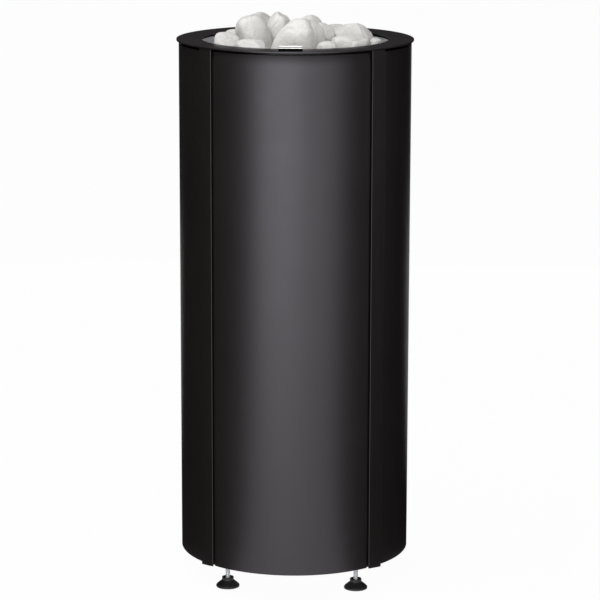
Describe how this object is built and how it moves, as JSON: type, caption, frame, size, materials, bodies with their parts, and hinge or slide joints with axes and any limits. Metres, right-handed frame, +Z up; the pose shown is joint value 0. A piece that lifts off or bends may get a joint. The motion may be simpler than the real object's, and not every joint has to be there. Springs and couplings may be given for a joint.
{
  "type": "sauna heater stove",
  "caption": "Round free-standing electric sauna heater with a black panelled casing, a top ring round a heap of white stones, inner heating elements and levelling feet.",
  "frame": {"origin": "floor level below the casing's centre", "axes": "+Z up along the casing's axis, -Y towards the front with the bare plate, +X to the right as seen from the front"},
  "size_m": [0.408, 0.408, 0.992],
  "materials": {
    "black_paint": "satin black powder coat",
    "polished_plate": "polished, bare",
    "stainless_steel": "mill finish stainless steel",
    "plated_steel": "zinc plated sheet",
    "zinc_steel": "bright zinc",
    "pad_rubber": "matte black",
    "white_stone": "rounded white stone",
    "pale_plastic": "heat-proof plastic",
    "black_plastic": "black plastic",
    "red_plastic": "red plastic",
    "copper": "copper tube"
  },
  "bodies": {
    "heater": {"front_panel": "black_paint", "right_panel": "black_paint", "rear_panel": "black_paint", "left_panel": "black_paint", "top_ring": "black_paint", "base_frame": "black_paint", "post_front_left": "black_paint", "post_front_right": "black_paint", "post_rear_right": "black_paint", "post_rear_left": "black_paint", "badge_plate": "polished_plate", "stone_container": "stainless_steel", "ledge_ring": "stainless_steel", "stone_grate": "stainless_steel", "element_front": "stainless_steel", "element_middle": "stainless_steel", "element_rear": "stainless_steel", "element_plate": "plated_steel", "junction_box": "plated_steel", "box_cover": "plated_steel", "element_nut_front_left": "plated_steel", "element_nut_front_right": "plated_steel", "element_nut_middle_left": "plated_steel", "element_nut_middle_right": "plated_steel", "element_nut_rear_left": "plated_steel", "element_nut_rear_right": "plated_steel", "cover_screw_left": "zinc_steel", "cover_screw_right": "zinc_steel", "terminal_block": "pale_plastic", "limiter_body": "pale_plastic", "cable_gland": "black_plastic", "limiter_sensor": "copper", "stone_bed": "white_stone"},
    "foot_pad_front_left": {"foot_pad_front_left": "pad_rubber"},
    "foot_pad_front_right": {"foot_pad_front_right": "pad_rubber"},
    "foot_pad_rear_right": {"foot_pad_rear_right": "pad_rubber"},
    "foot_pad_rear_left": {"foot_pad_rear_left": "pad_rubber"},
    "foot_stud_front_left": {"foot_stud_front_left": "zinc_steel"},
    "foot_stud_front_right": {"foot_stud_front_right": "zinc_steel"},
    "foot_stud_rear_right": {"foot_stud_rear_right": "zinc_steel"},
    "foot_stud_rear_left": {"foot_stud_rear_left": "zinc_steel"},
    "reset_button": {"reset_button": "red_plastic"},
    "stone_left_low": {"stone_left_low": "white_stone"},
    "stone_left_small": {"stone_left_small": "white_stone"},
    "stone_left_tall": {"stone_left_tall": "white_stone"},
    "stone_back_left": {"stone_back_left": "white_stone"},
    "stone_mid_left": {"stone_mid_left": "white_stone"},
    "stone_front_left": {"stone_front_left": "white_stone"},
    "stone_centre": {"stone_centre": "white_stone"},
    "stone_mid_right": {"stone_mid_right": "white_stone"},
    "stone_right_inner": {"stone_right_inner": "white_stone"},
    "stone_right_big": {"stone_right_big": "white_stone"},
    "stone_front_right": {"stone_front_right": "white_stone"},
    "stone_right_small": {"stone_right_small": "white_stone"},
    "stone_front_gap": {"stone_front_gap": "white_stone"},
    "stone_back_centre": {"stone_back_centre": "white_stone"},
    "stone_back_right": {"stone_back_right": "white_stone"},
    "stone_far_right": {"stone_far_right": "white_stone"},
    "stone_rear_left": {"stone_rear_left": "white_stone"},
    "stone_rear_right": {"stone_rear_right": "white_stone"}
  },
  "joints": [
    {"name": "foot_front_left_height", "type": "slide", "parent": "heater", "child": "foot_pad_front_left", "axis": [0, 0, 1], "range_m": [-0.015, 0.012]},
    {"name": "foot_front_left_turn", "type": "hinge", "parent": "foot_pad_front_left", "child": "foot_stud_front_left", "pos_m": [-0.11186, -0.10802, 0.05], "axis": [0, 0, 1], "range_deg": [-4320, 3456]},
    {"name": "foot_front_right_height", "type": "slide", "parent": "heater", "child": "foot_pad_front_right", "axis": [0, 0, 1], "range_m": [-0.015, 0.012]},
    {"name": "foot_front_right_turn", "type": "hinge", "parent": "foot_pad_front_right", "child": "foot_stud_front_right", "pos_m": [0.11186, -0.10802, 0.05], "axis": [0, 0, 1], "range_deg": [-4320, 3456]},
    {"name": "foot_rear_right_height", "type": "slide", "parent": "heater", "child": "foot_pad_rear_right", "axis": [0, 0, 1], "range_m": [-0.015, 0.012]},
    {"name": "foot_rear_right_turn", "type": "hinge", "parent": "foot_pad_rear_right", "child": "foot_stud_rear_right", "pos_m": [0.11186, 0.10802, 0.05], "axis": [0, 0, 1], "range_deg": [-4320, 3456]},
    {"name": "foot_rear_left_height", "type": "slide", "parent": "heater", "child": "foot_pad_rear_left", "axis": [0, 0, 1], "range_m": [-0.015, 0.012]},
    {"name": "foot_rear_left_turn", "type": "hinge", "parent": "foot_pad_rear_left", "child": "foot_stud_rear_left", "pos_m": [-0.11186, 0.10802, 0.05], "axis": [0, 0, 1], "range_deg": [-4320, 3456]},
    {"name": "reset_button_press", "type": "slide", "parent": "heater", "child": "reset_button", "axis": [0, 0, 1], "range_m": [0, 0.003], "stiffness_N_per_m": 500, "springref_m": -0.003},
    {"name": "stone_left_low_lift", "type": "slide", "parent": "heater", "child": "stone_left_low", "axis": [0, 0, 1], "range_m": [0, 0.12]},
    {"name": "stone_left_small_lift", "type": "slide", "parent": "heater", "child": "stone_left_small", "axis": [0, 0, 1], "range_m": [0, 0.12]},
    {"name": "stone_left_tall_lift", "type": "slide", "parent": "heater", "child": "stone_left_tall", "axis": [0, 0, 1], "range_m": [0, 0.12]},
    {"name": "stone_back_left_lift", "type": "slide", "parent": "heater", "child": "stone_back_left", "axis": [0, 0, 1], "range_m": [0, 0.12]},
    {"name": "stone_mid_left_lift", "type": "slide", "parent": "heater", "child": "stone_mid_left", "axis": [0, 0, 1], "range_m": [0, 0.12]},
    {"name": "stone_front_left_lift", "type": "slide", "parent": "heater", "child": "stone_front_left", "axis": [0, 0, 1], "range_m": [0, 0.12]},
    {"name": "stone_centre_lift", "type": "slide", "parent": "heater", "child": "stone_centre", "axis": [0, 0, 1], "range_m": [0, 0.12]},
    {"name": "stone_mid_right_lift", "type": "slide", "parent": "heater", "child": "stone_mid_right", "axis": [0, 0, 1], "range_m": [0, 0.12]},
    {"name": "stone_right_inner_lift", "type": "slide", "parent": "heater", "child": "stone_right_inner", "axis": [0, 0, 1], "range_m": [0, 0.12]},
    {"name": "stone_right_big_lift", "type": "slide", "parent": "heater", "child": "stone_right_big", "axis": [0, 0, 1], "range_m": [0, 0.12]},
    {"name": "stone_front_right_lift", "type": "slide", "parent": "heater", "child": "stone_front_right", "axis": [0, 0, 1], "range_m": [0, 0.12]},
    {"name": "stone_right_small_lift", "type": "slide", "parent": "heater", "child": "stone_right_small", "axis": [0, 0, 1], "range_m": [0, 0.12]},
    {"name": "stone_front_gap_lift", "type": "slide", "parent": "heater", "child": "stone_front_gap", "axis": [0, 0, 1], "range_m": [0, 0.12]},
    {"name": "stone_back_centre_lift", "type": "slide", "parent": "heater", "child": "stone_back_centre", "axis": [0, 0, 1], "range_m": [0, 0.12]},
    {"name": "stone_back_right_lift", "type": "slide", "parent": "heater", "child": "stone_back_right", "axis": [0, 0, 1], "range_m": [0, 0.12]},
    {"name": "stone_far_right_lift", "type": "slide", "parent": "heater", "child": "stone_far_right", "axis": [0, 0, 1], "range_m": [0, 0.12]},
    {"name": "stone_rear_left_lift", "type": "slide", "parent": "heater", "child": "stone_rear_left", "axis": [0, 0, 1], "range_m": [0, 0.12]},
    {"name": "stone_rear_right_lift", "type": "slide", "parent": "heater", "child": "stone_rear_right", "axis": [0, 0, 1], "range_m": [0, 0.12]}
  ],
  "couplings": [
    {"joint": "foot_front_left_turn", "follows": "foot_front_left_height", "rad_per_m": 5026.5},
    {"joint": "foot_front_right_turn", "follows": "foot_front_right_height", "rad_per_m": 5026.5},
    {"joint": "foot_rear_right_turn", "follows": "foot_rear_right_height", "rad_per_m": 5026.5},
    {"joint": "foot_rear_left_turn", "follows": "foot_rear_left_height", "rad_per_m": 5026.5}
  ]
}
